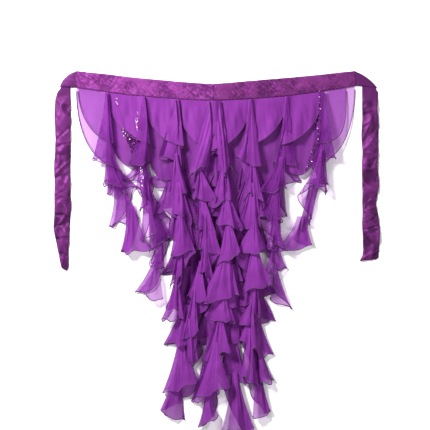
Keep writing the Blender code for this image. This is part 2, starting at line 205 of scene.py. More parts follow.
# Both corners of each cone's hem (x) and how far down it hangs
CONE_COLUMNS = ("left_x", "right_x", "hem_d")
CONES = {
    "ruffle_1_front": [(-274, -222, 205), (-262, -198, 264)],
    "ruffle_1_back": [(-250, -178, 276), (-228, -182, 336), (-209, -158, 413)],
    "ruffle_2_front": [(-192, -152, 205), (-176, -143, 285), (-170, -140, 376)],
    "ruffle_2_back": [
        (-204, -140, 262), (-166, -118, 328), (-150, -104, 388), (-150, -108, 452),
        (-172, -124, 515),
    ],
    "ruffle_3_front": [
        (-126, -66, 210), (-106, -61, 278), (-111, -55, 333), (-105, -50, 408), (-110, -72, 480),
        (-106, -74, 566),
    ],
    "ruffle_3_back": [
        (-140, -72, 268), (-102, -54, 326), (-95, -47, 392), (-90, -42, 464), (-91, -43, 548),
        (-98, -46, 622), (-106, -44, 716), (-123, -74, 782),
    ],
    "ruffle_4_front": [
        (-58, -14, 239), (-58, -16, 296), (-44, -4, 352), (-38, 10, 413), (-48, -8, 466),
        (-68, -34, 522), (-72, -40, 595), (-72, -40, 664),
    ],
    "ruffle_4_back": [
        (-46, -8, 266), (-50, -3, 326), (-43, 5, 400), (-38, 10, 470), (-37, 12, 542),
        (-39, 10, 628), (-50, 2, 748), (-34, 4, 797),
    ],
    "ruffle_5_front": [
        (5, 33, 233), (-6, 36, 292), (-2, 50, 358), (13, 60, 435), (-16, 50, 508), (-8, 42, 570),
        (-30, 31, 648), (-38, 28, 732),
    ],
    "ruffle_5_back": [
        (0, 38, 264), (2, 50, 322), (7, 53, 396), (11, 57, 468), (16, 63, 540), (14, 61, 610),
        (14, 66, 708), (22, 79, 817),
    ],
    "ruffle_6_front": [
        (54, 100, 218), (68, 108, 287), (62, 108, 346), (66, 112, 408), (60, 108, 483),
        (62, 102, 548), (58, 92, 616), (56, 88, 698),
    ],
    "ruffle_6_back": [
        (60, 100, 264), (55, 102, 330), (58, 105, 406), (64, 109, 474), (67, 119, 530),
        (65, 115, 582), (68, 120, 640), (74, 122, 714), (84, 121, 783),
    ],
    "ruffle_7_front": [(133, 176, 212), (113, 153, 276), (108, 148, 334), (112, 146, 394)],
    "ruffle_7_back": [
        (130, 192, 268), (116, 162, 328), (113, 156, 392), (112, 156, 464), (130, 170, 528),
    ],
    "ruffle_8_front": [(216, 282, 205), (202, 248, 270)],
    "ruffle_8_back": [(196, 246, 272), (190, 212, 350), (136, 208, 406)],
}

# How the cloth is laid

# Outer seams nearer to the middle than MIDDLE_REACH belong to ruffles 3 to 6, and those further
# away than SIDE_REACH to ruffles 1 and 8
MIDDLE_REACH = 200.0
SIDE_REACH = 250.0
# A front panel whose outer seam lies beyond this sweeps down more squarely
SWEPT_REACH = 290.0
# Flutes of the hem: waves in one turn, their height, their drop and how far they fold over sideways
FLUTES_PER_TURN = 7.6
FLUTE_HEIGHT = 9.2
FLUTE_SINK = 0.3
PLEAT_HEIGHT = 2.3
WRINKLE_HEIGHT = 2.6
FLUTE_DROP = 5.5
FLUTE_SIDE = 7.5
# How much one cone differs from the next: sideways place, height above the floor and tuck of its neck
SWAY_MIDDLE = 9.0
SWAY_SIDE = 3.0
LAYER_CHANCE = 3.4
TUCK_CHANCE = 11.0
# The cloth that crosses behind a cone hangs lower and wider than the cone itself
BACK_FALL = 17.0
BACK_WIDE = 1.1
BACK_ROW_WIDE = 1.8
LOW_ROW_WIDE = 1.5
FIRST_BACK_WIDE = 1.4
# Where the lower part of the garment begins, and over how far the change goes
LOW_HEM = 600.0
LOW_CHANGE = 60.0
# How far single necks stand aside from where the cones above and below would lead them
NECK_SHIFTS = {"ruffle_1_back": (0.0, 0.0, 14.0), "ruffle_8_back": (0.0, -4.0, -17.0)}
NECK_CHANCE = 5.0
# Cones that hang on a long narrow stem before they open: how late they open, by turn
LONG_STEMS = {"ruffle_8_back": {2: 1.5}, "ruffle_1_back": {2: 1.9}}
# Share of the light that one layer of chiffon stops: in cones at their hem and their neck, in
# cones on a long stem, and in panels. Side means ruffles 1 and 8, next means 2 and 7.
COVER_SIDE_FRONT = 0.34
COVER_SIDE_BACK = 0.21
COVER_NEXT = 0.29
COVER_MIDDLE = 0.6
COVER_NECK = 0.54
COVER_NECK_MIDDLE = 0.9
COVER_STEM = 0.74
COVER_PANEL_SIDE = 0.22
COVER_PANEL = 0.84
COVER_AT_BAND = 0.06
# Painted shade on the panels: on all of them, and on the back row's lower halves in addition
SHADE_PANEL = 0.36
SHADE_MIDDLE = 0.56
SHADE_NEXT = 0.26
# Heights of a panel's long soft folds and of its small ones
PANEL_FOLD = 5.4
PANEL_CREASE = 2.3
# How much wider than its row in the table a cone spreads
SPREAD_SIDE = 1.02
SPREAD_FRONT = 1.0
SPREAD_BACK = 1.24
SPREAD_LOW = 1.06
SPREAD_CHANCE = 0.3
# A cone's hem: how far its corners are tipped up or down, how far its middle hangs below them,
# how far it is kept short, and how far it leans and varies
TIP = 3.0
HEM_ARC = 5.0
HEM_SHORT = 3.0
HEM_LEAN = 14.0
HEM_CHANCE = 10.0

# Height of the lowest cloth
LOWEST = 1.1
# The first front cones lie on the back panels: how high, and how far down from the band
PANEL_TOP = 19.5
PANEL_SLOPE = 75.0
# Cloth under this height gets painted shade, the more the lower it lies
PAINTED_SHADE_Z = 26.0
# Folds above this height are pressed down into the room above it
SOFT_TOP = 33.0
TOP_ROOM = 5.0
# Radius of the rolled hem
HEM_RADIUS = 0.95

STEPS_PER_TURN = 56
ROWS_DOWN_CONE = 12
PANEL_STEPS = 60


def place(x, d, z):
    """A point of the laid garment in metres, from its place in millimetres."""
    return Vector(((x - CENTRE_X) * MM, (CENTRE_Y - d) * MM, z * MM))


def blend(a, b, t):
    """From a to b, a share t of the way."""
    return a + (b - a) * t


def ease(t):
    """From 0 to 1 with a soft start and a soft end."""
    t = min(max(t, 0.0), 1.0)
    return t * t * (3.0 - 2.0 * t)


def chance(*seeds):
    """A number from -1 to 1 that looks random and is the same in every run."""
    value = math.sin(sum(seed * weight for seed, weight in zip(seeds, CHANCE_WEIGHTS))) * CHANCE_SCALE
    return 2.0 * (value - math.floor(value)) - 1.0


def noise_at(x, y, z):
    """Smooth noise at a point, between about -1 and 1 and the same in every run."""
    return noise.noise(Vector((x, y, z)))


def table(rows):
    """The rows below the first as dictionaries, with the names that stand in the first."""
    return [dict(zip(rows[0], row)) for row in rows[1:]]


# Shader maths


def fill(tree, node, values):
    """Sets or links a node's sockets, by their names or numbers."""
    for spot, value in values.items():
        if isinstance(value, Shade):
            tree.links.new(value.socket, node.inputs[spot])
        else:
            node.inputs[spot].default_value = value


class Shade:
    """One socket of a material's nodes, which can be used in sums."""

    def __init__(self, tree, socket=None):
        self.tree = tree
        self.socket = socket

    def node(self, kind, settings=None, output=0, **values):
        """Adds a node with settings and with values or links of its sockets: s0 is the first."""
        made = self.tree.nodes.new(kind)
        for key, value in (settings or {}).items():
            setattr(made, key, value)
        for key, value in values.items():
            fill(self.tree, made, {int(key[1:]) if key[1:].isdigit() else key: value})
        return Shade(self.tree, made.outputs[output])

    def maths(self, operation, a, b):
        return self.node("ShaderNodeMath", {"operation": operation}, s0=a, s1=b)

    def __add__(self, other):
        return self.maths("ADD", self, other)

    def __radd__(self, other):
        return self.maths("ADD", other, self)

    def __sub__(self, other):
        return self.maths("SUBTRACT", self, other)

    def __mul__(self, other):
        return self.maths("MULTIPLY", self, other)

    def tint(self, low, high):
        """A colour between two others, each a colour or another shade."""
        low, high = (end if isinstance(end, Shade) else (*end, 1.0) for end in (low, high))
        return self.node("ShaderNodeMix", {"data_type": "RGBA"}, output=2, s0=self, s6=low, s7=high)


def new_material(name):
    made = bpy.data.materials.new(name)
    made.use_nodes = True
    tree = made.node_tree
    surface = tree.nodes["Principled BSDF"]
    return made, tree, surface


def chiffon(name, lit, deep, sheer):
    """Sheer cloth: every layer lets some tinted light through, so layers build up colour. The depth
    attribute darkens its colour as painted shade.
    """
    made, tree, surface = new_material(name)
    shade = Shade(tree)
    cover = shade.node("ShaderNodeAttribute", {"attribute_name": "cover"}, output=2)
    where = shade.node("ShaderNodeTexCoord", output=3)
    soft = shade.node("ShaderNodeTexNoise", Vector=where, Scale=26.0, Detail=3.0, Roughness=0.55)
    threads = shade.node("ShaderNodeTexNoise", Vector=where, Scale=1400.0, Detail=1.0, Roughness=0.5)
    # Painted shade: the depth attribute darkens the colour towards the painted shade colour.
    under = shade.node("ShaderNodeAttribute", {"attribute_name": "depth"}, output=2)
    colour = (under * 0.66).tint(soft.tint(deep, lit), CHIFFON_PAINTED_SHADE)
    crape = shade.node("ShaderNodeTexNoise", Vector=where, Scale=240.0, Detail=2.0, Roughness=0.5)
    bump = shade.node("ShaderNodeBump", Height=threads + crape * 4.0, Strength=0.25, Distance=0.0003)
    fill(tree, surface, {
        "Base Color": colour,
        "Roughness": 0.6,
        "Sheen Weight": 0.16,
        "Sheen Roughness": 0.4,
        "Sheen Tint": (0.7, 0.25, 0.8, 1.0),
        "Specular IOR Level": 0.2,
        "Specular Tint": (0.8, 0.4, 0.9, 1.0),
        "Normal": bump,
    })
    clear = shade.node("ShaderNodeBsdfTransparent", Color=(*sheer, 1.0))
    weave = cover + (threads - 0.5) * 0.16
    mixed = shade.node("ShaderNodeMixShader", s0=weave, s1=clear, s2=Shade(tree, surface.outputs[0]))
    fill(tree, tree.nodes["Material Output"], {"Surface": mixed})
    return made


def satin(name, lit, deep, roughness):
    """Close-woven shiny cloth with soft crushed patches, darkened in its creases by painted shade from the
    fold attribute.
    """
    made, tree, surface = new_material(name)
    shade = Shade(tree)
    where = shade.node("ShaderNodeTexCoord", output=3)
    crush = shade.node("ShaderNodeTexNoise", Vector=where, Scale=34.0, Detail=4.0, Roughness=0.6)
    threads = shade.node("ShaderNodeTexNoise", Vector=where, Scale=1600.0, Detail=1.0, Roughness=0.5)
    # Painted shade: the fold attribute makes the colour darker in the creases and lighter on the raised
    # cloth.
    fold = shade.node("ShaderNodeAttribute", {"attribute_name": "fold"}, output=2)
    bump = shade.node("ShaderNodeBump", Height=crush * 6.0 + threads * 0.6, Strength=0.3, Distance=0.0008)
    fill(tree, surface, {
        "Base Color": (crush * 0.5 + fold * 1.3 - 0.35).tint(deep, lit),
        "Roughness": roughness + (crush - 0.5) * 0.2,
        "Metallic": 0.22,
        "Specular IOR Level": 0.3,
        "Specular Tint": (0.75, 0.3, 0.8, 1.0),
        "Normal": bump,
    })
    return made


def plain(name, colour, roughness):
    made, tree, surface = new_material(name)
    fill(tree, surface, {"Base Color": (*colour, 1.0), "Roughness": roughness})
    return made


# Making pieces


def piece(name, points, faces, material, values=None):
    """A new piece from its points, with named values at them for its material."""
    mesh = bpy.data.meshes.new(name)
    mesh.from_pydata(points, [], faces)
    mesh.materials.append(material)
    mesh.polygons.foreach_set("use_smooth", [True] * len(mesh.polygons))
    for key, numbers in (values or {}).items():
        layer = mesh.attributes.new(key, "FLOAT", "POINT")
        layer.data.foreach_set("value", numbers)
    made = bpy.data.objects.new(name, mesh)
    bpy.context.scene.collection.objects.link(made)
    return made


def sheet_faces(rows, columns):
    """The faces between the points of a grid."""
    faces = []
    for i in range(rows - 1):
        for j in range(columns - 1):
            a = i * columns + j
            faces.append((a, a + 1, a + columns + 1, a + columns))
    return faces


def cord_round(name, path, radius, material, sides=6):
    """A thin round cord along a path of points, closed at both ends."""
    points = []
    faces = []
    for i, spot in enumerate(path):
        ahead = (path[min(i + 1, len(path) - 1)] - path[max(i - 1, 0)]).normalized()
        side = ahead.cross(UP)
        if side.length < 0.05:
            side = ahead.cross(Vector((1.0, 0.0, 0.0)))
        side.normalize()
        up = side.cross(ahead)
        for k in range(sides):
            turn = 2.0 * math.pi * k / sides
            points.append(spot + (side * math.cos(turn) + up * math.sin(turn)) * radius)
    for i in range(len(path) - 1):
        for k in range(sides):
            a = i * sides + k
            b = i * sides + (k + 1) % sides
            faces.append((a, b, b + sides, a + sides))
    faces.append(tuple(reversed(range(sides))))
    last = (len(path) - 1) * sides
    faces.append(tuple(last + k for k in range(sides)))
    made = piece(name, points, faces, material)
    face_out(made)
    return made


def face_out(made, weld=0.0):
    """Turns all faces outwards, after joining points that are nearer to each other than weld."""
    tidy = bmesh.new()
    tidy.from_mesh(made.data)
    if weld > 0.0:
        bmesh.ops.remove_doubles(tidy, verts=tidy.verts, dist=weld)
    bmesh.ops.recalc_face_normals(tidy, faces=tidy.faces)
    tidy.to_mesh(made.data)
    tidy.free()


# Ruffles


def band_edge(x, edge):
    """How far down the band's top or bottom edge lies at a place along it."""
    rows = table(BAND_ROWS)
    for left, right in zip(rows, rows[1:]):
        if x <= right["x"]:
            break
    t = (x - left["x"]) / (right["x"] - left["x"])
    return blend(left[edge], right[edge], t)


def is_middle(panel):
    return abs(panel["outer"]) < MIDDLE_REACH


def is_side(panel):
    return abs(panel["outer"]) > SIDE_REACH


def neck_start(panel):
    """How far down a ruffle's inner fold leaves the band."""
    return band_edge(panel["inner"], "bottom") + BAND_GAP


def drift(seed, turn, kind, shift):
    """A chance value that passes from the one of the turn above to this turn's own."""
    return blend(chance(seed, turn - 1, kind), chance(seed, turn, kind), shift)


def rounded(share):
    """A quarter circle: 0 at the edge and 1 from a share of 1 on."""
    return math.sqrt(1.0 - (1.0 - min(share, 1.0)) ** 2)


def panel_fullness(panel, layer):
    """How square the sweep of a panel's hem is: 2 is a quarter of an ellipse."""
    if layer is FRONT_LAYER:
        return 3.4 if panel["outer"] > SWEPT_REACH else 1.8
    return 2.0 if is_side(panel) else 3.4


def panel_station(panel, layer, across):
    """Seam and hem of the flat top panel, a share across it from its outer seam to its inner fold."""
    x = blend(panel["outer"], panel["inner"], across)
    slant = math.copysign(panel["slant"], panel["inner"] - panel["outer"]) * across * across
    full = panel_fullness(panel, layer)
    sweep = (1.0 - (1.0 - across) ** full) ** (1.0 / full)
    neck_d = band_edge(x, "bottom") + BAND_GAP
    hem_d = neck_d + PANEL_LIP + panel["drop"] * sweep
    if layer is BACK_LAYER:
        hem_d += BELLY.get(panel["inner"], 0.0) * math.sin(math.pi * across) ** 0.8
    to_fold = abs(panel["inner"] - panel["outer"]) * (1.0 - across)
    roll = rounded(to_fold / PANEL_ROLL)
    rise = PANEL_RISE * roll - PANEL_RISE if layer is FRONT_LAYER else layer["rise"] * roll
    hem_z = layer["hem_z"] + rise
    hem_z = blend(layer["outer_z"], hem_z, ease(1.6 * across))
    hem_z = blend(layer["band_z"], hem_z, sweep)
    fold_z = layer["fold_z"] + FIRST_NECK_RISE * rounded(to_fold / GATHER_ROLL)
    neck_z = blend(layer["band_z"], fold_z, ease(1.0 - to_fold / GATHER_WIDTH))
    return (x, neck_d, neck_z), (x + slant, hem_d, hem_z)


def hem_before(panel, cones, chirality, turn):
    """The hem that a turn starts from: the one of the cone above, or the panel's at its fold."""
    if turn > 0:
        return dict(zip(CONE_COLUMNS, cones[turn - 1]))
    fold = panel["inner"] + chirality * panel["slant"]
    ends = sorted((fold, fold - chirality * 2.0 * PANEL_ROLL))
    drop = neck_start(panel) + PANEL_LIP + panel["drop"]
    return dict(zip(CONE_COLUMNS, (ends[0], ends[1], drop)))


def neck_middle(panel, cones, chirality, turn):
    """The middle of a cone's neck: between its own hem and the one above, and inside the latter."""
    if turn < 0:
        return panel["inner"] - chirality * FIRST_NECK_RADIUS
    above = hem_before(panel, cones, chirality, turn)
    here = 0.5 * (cones[turn][0] + cones[turn][1])
    over = neck_middle(panel, cones, chirality, turn - 1)
    room = NECK_RADIUS + NECK_ROOM
    low = blend(over - NECK_RADIUS, above["left_x"], NECK_KEEPS) + room
    high = blend(over + NECK_RADIUS, above["right_x"], NECK_KEEPS) - room
    if turn == 0:
        aside = min(1.2 * panel["slant"] - room - FIRST_NECK_RADIUS, 0.0)
        low = high = panel["inner"] + chirality * aside
    if low > high:
        low = high = 0.5 * (low + high)
    wanted = blend(0.5 * (above["left_x"] + above["right_x"]), here, NECK_GOES)
    return min(max(wanted, low), high)


def cone_station(panel, cones, layer, chirality, t, necks, seed):
    """Neck and hem of the wound part: t counts turns from the panel's inner fold.

    The first half of a turn crosses behind, down from the cone above. The second half crosses in
    front and is the cone that shows.
    """
    turn = min(int(t), len(cones) - 1)
    part = t - turn
    row = dict(zip(CONE_COLUMNS, cones[turn]))
    above = hem_before(panel, cones, chirality, turn)
    middle = is_middle(panel)
    middle_back = middle and layer is BACK_LAYER
    start_d = neck_start(panel)
    shift = ease(part * 2.0)
    left = blend(above["left_x"], row["left_x"], shift)
    right = blend(above["right_x"], row["right_x"], shift)
    fall = blend(above["hem_d"], row["hem_d"], shift)
    tucks = [NECK_TUCK + TUCK_CHANCE * chance(seed, k, 12.0) for k in (turn - 1, turn)]
    from_band = turn == 0 and layer is FRONT_LAYER
    if turn == 0:
        neck_above = start_d
        falling = ease((part - 0.6) / 0.4) if from_band else ease(part * 2.4)
    else:
        neck_above = hem_before(panel, cones, chirality, turn - 1)["hem_d"] - tucks[0]
        falling = ease(part * 3.0)
    neck_d = blend(neck_above, above["hem_d"] - tucks[1], falling)
    swing = math.cos(2.0 * math.pi * part) * chirality
    height = -math.sin(2.0 * math.pi * part)
    if part > 0.5 and turn < len(FIRST_CONES):
        height *= FIRST_CONES[turn]
    settled = ease(1.2 * t)
    lean = HEM_LEAN * drift(seed, turn, 0.0, shift)
    wide = SPREAD_SIDE
    if middle:
        wide = SPREAD_FRONT if layer is FRONT_LAYER else SPREAD_BACK
    own = [wide + SPREAD_CHANCE * chance(seed, k, 3.0) for k in (turn - 1, turn)]
    if middle_back:
        own = [value * (FIRST_BACK_WIDE if k <= 1 else 1.0) for k, value in zip((turn - 1, turn), own)]
    spread = blend(1.0, blend(own[0], own[1], shift), settled)
    drop = HEM_CHANCE * drift(seed, turn, 9.0, shift)
    if turn == len(cones) - 1:
        drop *= 1.0 - shift
    behind = max(math.sin(2.0 * math.pi * part), 0.0) * settled
    hem_d = fall + (lean * swing + drop + HEM_ARC * abs(height) - HEM_SHORT) * settled
    hem_d += BACK_FALL * behind * (1.0 + 0.7 * chance(seed, turn, 4.0)) * (0.4 if turn == 0 else 1.0)
    low = ease((fall - LOW_HEM) / LOW_CHANGE)
    spread = blend(spread, min(spread, SPREAD_LOW), low)
    low_wide = LOW_ROW_WIDE if middle_back and turn < len(cones) - 1 else 1.0
    wide_behind = blend(BACK_ROW_WIDE if middle_back else BACK_WIDE, low_wide, low)
    spread *= blend(1.0, wide_behind, behind ** 0.5)
    loose = SWAY_MIDDLE if middle and layer is FRONT_LAYER else SWAY_SIDE
    sway = loose * drift(seed, turn, 11.0, shift) * settled
    hem_x = 0.5 * (left + right) + 0.5 * (right - left) * spread * swing + sway
    tip = TIP if layer is FRONT_LAYER else -0.5 * TIP
    level = LAYER_CHANCE * drift(seed, turn, 13.0, shift) * settled
    hem_z = layer["hem_z"] + layer["rise"] * height + tip * swing * settled + level
    over, under = necks[turn], necks[turn + 1]
    with_front = (under - over) * chirality > 0.0
    neck_x = blend(over, under, ease(part) if with_front else shift)
    radius = blend(BACK_NECK_RADIUS, LOW_NECK_RADIUS, low) if middle_back else NECK_RADIUS
    neck_x += blend(FIRST_NECK_RADIUS, radius, ease(t)) * swing
    slope = min((neck_d - start_d) / panel["drop"], 1.0)
    neck_z = blend(layer["fold_z"], layer["hem_z"], slope)
    neck_z += blend(FIRST_NECK_RISE, NECK_RISE, ease(t - 1.0)) * height
    if from_band:
        neck_z += FIRST_NECK_LIFT * max(height, 0.0) ** 0.5
    return (neck_x, neck_d, neck_z), (hem_x, hem_d, hem_z)


def flattened(z):
    """Keeps the cloth above the floor and presses its highest folds down softly."""
    if z > SOFT_TOP:
        z = SOFT_TOP + TOP_ROOM * (1.0 - math.exp((SOFT_TOP - z) / TOP_ROOM))
    return max(z, LOWEST)


def ripple(along, seed, pace, kind, low=-1.2, high=1.2):
    """Waves along a hem that look random, cut off at a lowest and a highest value."""
    return max(low, min(high, 2.2 * noise_at(pace * along, 3.1 * seed, kind)))


def panel_rows(panel, layer, seed):
    """The flat top panel, row by row: points, share of light stopped and painted shade."""
    front = layer is FRONT_LAYER
    side = is_side(panel)
    shade = SHADE_MIDDLE if is_middle(panel) else SHADE_NEXT
    for i in range(PANEL_STEPS + 1):
        across = 0.5 - 0.5 * math.cos(math.pi * i / PANEL_STEPS)
        neck, hem = panel_station(panel, layer, across)
        line, cover, depth = [], [], []
        for j in range(ROWS_DOWN_CONE + 1):
            u = j / ROWS_DOWN_CONE
            x = blend(neck[0], hem[0], u)
            d = blend(neck[1], hem[1], u)
            z = blend(neck[2], hem[2], u)
            quiet = math.sin(math.pi * min(across, 0.98)) ** 0.6 * math.sin(math.pi * min(u * 0.6, 1.0))
            z += PANEL_FOLD * quiet * noise_at(x * 0.045 + 0.008 * d, d * 0.011, 5.0 * seed)
            z += PANEL_CREASE * quiet * noise_at(x * 0.12 - 0.02 * d, d * 0.03, 5.0 * seed + 3.0)
            line.append(place(x, d, max(z, LOWEST)))
            # Painted shade: on all but the side panels, and growing towards the hem of the back panels.
            shaded = 0.0 if front else ease(1.5 * u - 0.2) * shade
            depth.append(0.0 if side else SHADE_PANEL + shaded)
            cover.append((COVER_PANEL_SIDE if side else COVER_PANEL) + COVER_AT_BAND * (1.0 - u) ** 2)
        yield line, cover, depth


def cone_rows(name, panel, cones, layer, chirality, necks, seed):
    """The wound part, row by row: points, share of light stopped and painted shade."""
    front = layer is FRONT_LAYER
    middle = is_middle(panel)
    stems = LONG_STEMS.get(name, {})
    band_d = band_edge(panel["inner"], "bottom")
    at_hem = COVER_MIDDLE if middle else COVER_NEXT
    if is_side(panel):
        at_hem = COVER_SIDE_FRONT if front else COVER_SIDE_BACK
    at_neck = COVER_NECK_MIDDLE if middle else COVER_NECK
    phase = 3.0 * chance(seed, 5.0)
    for i in range(1, STEPS_PER_TURN * len(cones) + 1):
        t = i / STEPS_PER_TURN
        turn = min(int(t), len(cones) - 1)
        neck, hem = cone_station(panel, cones, layer, chirality, t, necks, seed)
        along = FLUTES_PER_TURN * t + phase
        deep = ease(2.5 * t)
        wave = ripple(along, seed, 0.8, 0.5, -1.1, 1.3) * deep
        pleat = (1.0 - 3.2 * abs(noise_at(1.9 * along, 3.1 * seed, 4.5))) * deep
        over = ripple(along, seed, 0.8, 7.5) * deep
        dip = ripple(along, seed, 1.1, 2.5) * deep
        swells = []
        for k in (turn - 1, turn):
            usual = (1.1 if middle else 1.3) + 0.3 * chance(seed, k, 8.0)
            swells.append(stems.get(k, usual))
        swell = blend(swells[0], swells[1], ease(2.0 * (t - turn)))
        cone_hem = COVER_STEM if turn in stems else at_hem
        line, cover, depth = [], [], []
        for j in range(ROWS_DOWN_CONE + 1):
            u = j / ROWS_DOWN_CONE
            x = blend(neck[0], hem[0], u ** swell) + FLUTE_SIDE * over * u * u
            d = blend(neck[1], hem[1], u) + FLUTE_DROP * dip * u ** 3
            flute = FLUTE_HEIGHT * (wave - FLUTE_SINK) * u * (1.0 if t % 1.0 > 0.5 else 0.6)
            z = blend(neck[2], hem[2], u) + flute
            z += PLEAT_HEIGHT * pleat * math.sin(math.pi * min(u, 0.9)) ** 0.5
            crinkle = noise_at(x * 0.1, d * 0.055, seed)
            crinkle += 0.4 * noise_at(x * 0.26, d * 0.12, seed)
            z += WRINKLE_HEIGHT * crinkle * min(3.0 * u, 1.0)
            if turn == 0 and front:
                z = max(z, PANEL_TOP * ease((d - band_d) / PANEL_SLOPE))
            line.append(place(x, d, flattened(z)))
            # Painted shade: in the middle ruffles, the darker the lower the cloth lies, and weaker in the
            # lower part of the garment.
            painted_shade_share = 1.0 - 0.7 * ease((d - LOW_HEM + 80.0) / 120.0)
            depth.append(painted_shade_share * ease((PAINTED_SHADE_Z - z) / PAINTED_SHADE_Z) * ease(t) if middle else 0.0)
            cover.append(cone_hem + (at_neck - cone_hem) * (1.0 - u) ** 1.2)
        yield line, cover, depth


def ruffle_rows(name):
    """A ruffle's cloth, row by row from the band's seam to its last turn."""
    panel = dict(zip(PANEL_COLUMNS, PANELS[name]))
    cones = CONES[name]
    layer = FRONT_LAYER if name.endswith("front") else BACK_LAYER
    chirality = 1.0 if panel["inner"] > panel["outer"] else -1.0
    seed = float(list(PANELS).index(name)) + 0.37
    necks = [neck_middle(panel, cones, chirality, turn) for turn in range(-1, len(cones))]
    shifts = NECK_SHIFTS.get(name, ())
    for k in range(len(cones)):
        necks[k + 1] += NECK_CHANCE * chance(seed, k, 7.0) + (shifts[k] if k < len(shifts) else 0.0)
    rows = list(panel_rows(panel, layer, seed))
    rows += cone_rows(name, panel, cones, layer, chirality, necks, seed)
    return rows


# Colours: light through the chiffon, its lit and its deep tone, the colour of its painted shade, its hem

LILAC_CLEAR = (0.85, 0.66, 0.89)
CHIFFON_LIT = (0.275, 0.041, 0.36)
CHIFFON_DEEP = (0.16, 0.021, 0.215)
CHIFFON_PAINTED_SHADE = (0.075, 0.008, 0.105)
HEM_COLOUR = (0.085, 0.010, 0.115)


def make_ruffles():
    """Every ruffle as a sheet of chiffon with its rolled hem."""
    thread = plain("chiffon_hem", HEM_COLOUR, 0.6)
    for name in PANELS:
        rows = ruffle_rows(name)
        cloth = chiffon("chiffon_cloth_" + name, CHIFFON_LIT, CHIFFON_DEEP, LILAC_CLEAR)
        # The depth values are painted shade for the chiffon's colour.
        points, cover, depth = ([value for row in rows for value in row[part]] for part in range(3))
        faces = sheet_faces(len(rows), ROWS_DOWN_CONE + 1)
        sheet = piece("chiffon_" + name, points, faces, cloth, {"cover": cover, "depth": depth})
        hem = cord_round("hem_" + name, [line[-1] for line, _, _ in rows], HEM_RADIUS * MM, thread)
        for made in (sheet, hem):
            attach(made, "root")
        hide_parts(name)


# Sequins

SEQUIN_RADIUS = 1.45
SEQUIN_HOLE = 0.3
SEQUIN_CUP = 0.45
SEQUIN_WALL = 0.15
SEQUIN_LIFT = 0.95
SEQUIN_TILT = 0.42
SEQUIN_GAP = 2.7
SEQUIN_STRAY = 0.6
PLUM = ((0.035, 0.003, 0.045), (0.16, 0.025, 0.19))
PALE = ((0.3, 0.1, 0.34), (0.9, 0.75, 0.9))
# Corners of the patch of sequins that shows under the second panel, in x and d
LEFT_PATCH = ((-216, 131), (-206, 133), (-177, 157), (-180, 168), (-190, 192), (-201, 163))
# Single sequins and rows of them: first x and d, last x and d, how many
LEFT_ROWS = (
    (-226.5, 70.5, -223, 76, 4),
    (-225, 62, -224, 64, 1),
    (-178, 94, -176.5, 98, 3),
    (-181.5, 110, -178, 136, 9),
    (-177, 108, -176.5, 116, 3),
    (-210, 146, -207, 152, 3),
    (-169.5, 222, -166.5, 262, 13),
    (-165.5, 226, -164, 246, 5),
    (-144, 372, -142.5, 378, 2),
)
RIGHT_ROWS = (
    (236.5, 47, 235.5, 98, 17),
    (234, 98, 232, 160, 21),
    (237.5, 88, 236.5, 118, 8),
    (229, 112, 226, 134, 5),
    (231, 160, 214, 218, 18),
    (224, 166, 206, 226, 17),
    (212, 218, 196, 286, 18),
    (204, 226, 190, 280, 14),
    (18, 648, 16.5, 672, 6),
)


def cloth_tree():
    """All the laid chiffon and satin as one surface, to find what a sequin or stitch rests on."""
    points = []
    faces = []
    for made in bpy.data.objects:
        if made.name.startswith(("chiffon_ruffle", "satin_")) and made.type == "MESH":
            start = len(points)
            points += [spot.co.copy() for spot in made.data.vertices]
            faces += [[start + k for k in face.vertices] for face in made.data.polygons]
    return BVHTree.FromPolygons(points, faces)


def inside(x, d, corners):
    """Whether a place lies inside a ring of corners."""
    crossings = 0
    for (x0, d0), (x1, d1) in zip(corners, corners[1:] + corners[:1]):
        if (d0 > d) != (d1 > d) and x < x0 + (d - d0) / (d1 - d0) * (x1 - x0):
            crossings += 1
    return crossings % 2 == 1


def one_sequin():
    """A cupped sequin with a hole in its middle, turned as a short open cone and thickened."""
    bpy.ops.mesh.primitive_cone_add(
        vertices=10,
        radius1=SEQUIN_RADIUS * MM,
        radius2=SEQUIN_HOLE * MM,
        depth=SEQUIN_CUP * MM,
        end_fill_type="NOTHING",
    )
    made = bpy.context.active_object
    wall = made.modifiers.new("wall", "SOLIDIFY")
    wall.thickness = SEQUIN_WALL * MM
    bpy.ops.object.modifier_apply(modifier=wall.name)
    bpy.ops.object.shade_flat()
    return made


# A height from which to look down on the cloth
ABOVE_ALL = 80.0


def set_down(name, source, spots, turns, lift, material, tree):
    """Copies of a small part, each turned and set down on the cloth below it, joined in one piece."""
    copies = []
    for (x, d), turn in zip(spots, turns):
        hit, normal, _, _ = tree.ray_cast(place(x, d, ABOVE_ALL), DOWN)
        if hit is None:
            continue
        if normal.z < 0.0:
            normal = -normal
        made = source.copy()
        made.data = source.data.copy()
        lean = UP.rotation_difference(normal.lerp(UP, 0.5).normalized())
        turned = (lean.to_matrix() @ turn.to_matrix()).to_4x4()
        made.data.transform(Matrix.Translation(hit + Vector((0.0, 0.0, lift * MM))) @ turned)
        bpy.context.scene.collection.objects.link(made)
        copies.append(made)
    bpy.data.objects.remove(source)
    bpy.ops.object.select_all(action="DESELECT")
    for made in copies:
        made.select_set(True)
    bpy.context.view_layer.objects.active = copies[0]
    bpy.ops.object.join()
    joined = bpy.context.view_layer.objects.active
    joined.name = name
    joined.data.name = name
    joined.data.materials.clear()
    joined.data.materials.append(material)
    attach(joined, "root")


def sequins(name, spots, seed, material, tree):
    """Sequins at these places, each tilted and turned its own way."""
    turns = []
    for k in range(len(spots)):
        tilts = [SEQUIN_TILT * chance(seed, k, way) for way in (1.0, 2.0)]
        turns.append(Euler((*tilts, 3.0 * chance(seed, k)), "XYZ"))
    set_down(name, one_sequin(), spots, turns, SEQUIN_LIFT, material, tree)


